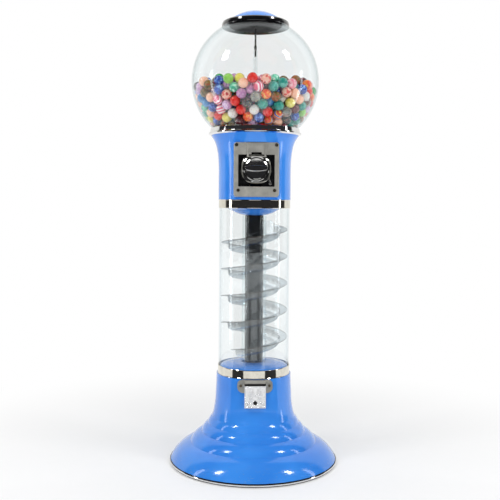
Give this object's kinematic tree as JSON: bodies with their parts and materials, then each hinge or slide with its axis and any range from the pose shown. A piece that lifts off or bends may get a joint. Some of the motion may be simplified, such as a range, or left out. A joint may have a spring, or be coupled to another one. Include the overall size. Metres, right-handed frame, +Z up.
{
  "type": "gumball machine",
  "caption": "Floor-standing gumball machine: round globe and coin head on a clear spiral column over a flared base.",
  "frame": {"origin": "centre of the foot on the floor", "axes": "+Z up, front faces -Y, +X to the right seen from the front"},
  "size_m": [0.4511, 0.4512, 1.2195],
  "materials": {
    "blue_paint": "gloss blue paint",
    "chrome": "polished chrome",
    "black_vinyl": "semi-gloss",
    "rubber": "matt",
    "black_enamel": "gloss black",
    "black_plastic": "moulded",
    "clear_plastic": "clear polycarbonate",
    "cast_zinc": "satin cast zinc",
    "steel": "zinc plated",
    "galvanised_sheet": "sheet",
    "grey_paint": "satin grey paint",
    "bronze": "sintered bronze",
    "carrier_zinc": "die cast",
    "white_plastic": "acetal",
    "bristle": "nylon bristle",
    "balls": "assorted colours"
  },
  "bodies": {
    "machine": {"ball_drop_tube": "galvanised_sheet", "ball_fill": "balls", "base_band": "chrome", "base_bottom_plate": "steel", "base_dome": "blue_paint", "base_edge_moulding": "black_vinyl", "base_shell": "blue_paint", "base_trim_ring": "chrome", "brush": "bristle", "brush_housing": "black_plastic", "cash_frame": "grey_paint", "center_post": "black_enamel", "center_tube": "clear_plastic", "chute_door_pin": "steel", "chute_plate": "cast_zinc", "clear_tube": "clear_plastic", "coin_chute": "black_plastic", "exit_chute": "galvanised_sheet", "flange_screws": "steel", "front_screws": "steel", "globe": "clear_plastic", "globe_gasket": "rubber", "globe_ring": "chrome", "head_band": "chrome", "head_dome": "blue_paint", "head_shell": "blue_paint", "hopper": "black_plastic", "mech_face_plate": "cast_zinc", "mech_housing": "chrome", "pawl_screw": "steel", "pawl_spring": "steel", "post_flanges": "steel", "post_sleeve": "clear_plastic", "rubber_feet": "rubber", "shaft_bush": "bronze", "spiral_exit_section": "clear_plastic", "spiral_section_1": "clear_plastic", "spiral_section_2": "clear_plastic", "spiral_section_3": "clear_plastic", "spiral_section_4": "clear_plastic", "wheel_axle": "steel", "wheel_pan": "black_plastic"},
    "handle": {"mech_handle": "chrome", "handle_shaft": "steel", "coin_carrier": "carrier_zinc", "drive_pinion": "white_plastic", "shaft_nut": "steel"},
    "wheel": {"dispensing_wheel": "white_plastic", "crown_gear": "white_plastic", "agitator": "black_plastic"},
    "pawl": {"ratchet_pawl": "steel"},
    "flap": {"chute_door": "chrome"},
    "lid": {"lid_dome": "blue_paint", "lid_ring": "black_enamel", "lid_liner": "black_plastic", "lid_rod": "steel"},
    "lid_key": {"lid_lock": "steel"},
    "cash_drawer": {"cash_box": "galvanised_sheet", "cash_drawer_front": "grey_paint"},
    "cash_key": {"cash_lock": "steel"}
  },
  "joints": [
    {"name": "handle_turn", "type": "hinge", "parent": "machine", "child": "handle", "pos_m": [0, -0.094, 0.787], "axis": [0, 1, 0], "continuous": true},
    {"name": "wheel_turn", "type": "hinge", "parent": "machine", "child": "wheel", "pos_m": [0, 0, 0.81], "axis": [0, 0, 1], "continuous": true},
    {"name": "pawl_lift", "type": "hinge", "parent": "machine", "child": "pawl", "pos_m": [0.037, -0.092, 0.748], "axis": [0, 1, 0], "range_deg": [-19, 3], "stiffness_Nm_per_rad": 0.02},
    {"name": "flap_open", "type": "hinge", "parent": "machine", "child": "flap", "pos_m": [0, -0.1086, 0.2248], "axis": [-1, 0, 0], "range_deg": [0, 78]},
    {"name": "lid_lift", "type": "slide", "parent": "machine", "child": "lid", "axis": [0, 0, 1], "range_m": [0, 0.2]},
    {"name": "lid_key_turn", "type": "hinge", "parent": "lid", "child": "lid_key", "pos_m": [0, 0, 1.21], "axis": [0, 0, 1], "range_deg": [0, 90]},
    {"name": "cash_drawer_slide", "type": "slide", "parent": "machine", "child": "cash_drawer", "axis": [0, 1, 0], "range_m": [0, 0.085]},
    {"name": "cash_key_turn", "type": "hinge", "parent": "cash_drawer", "child": "cash_key", "pos_m": [0, 0.112, 0.186], "axis": [0, -1, 0], "range_deg": [0, 90]}
  ],
  "couplings": [
    {"joint": "wheel_turn", "follows": "handle_turn", "ratio": 0.16667}
  ]
}
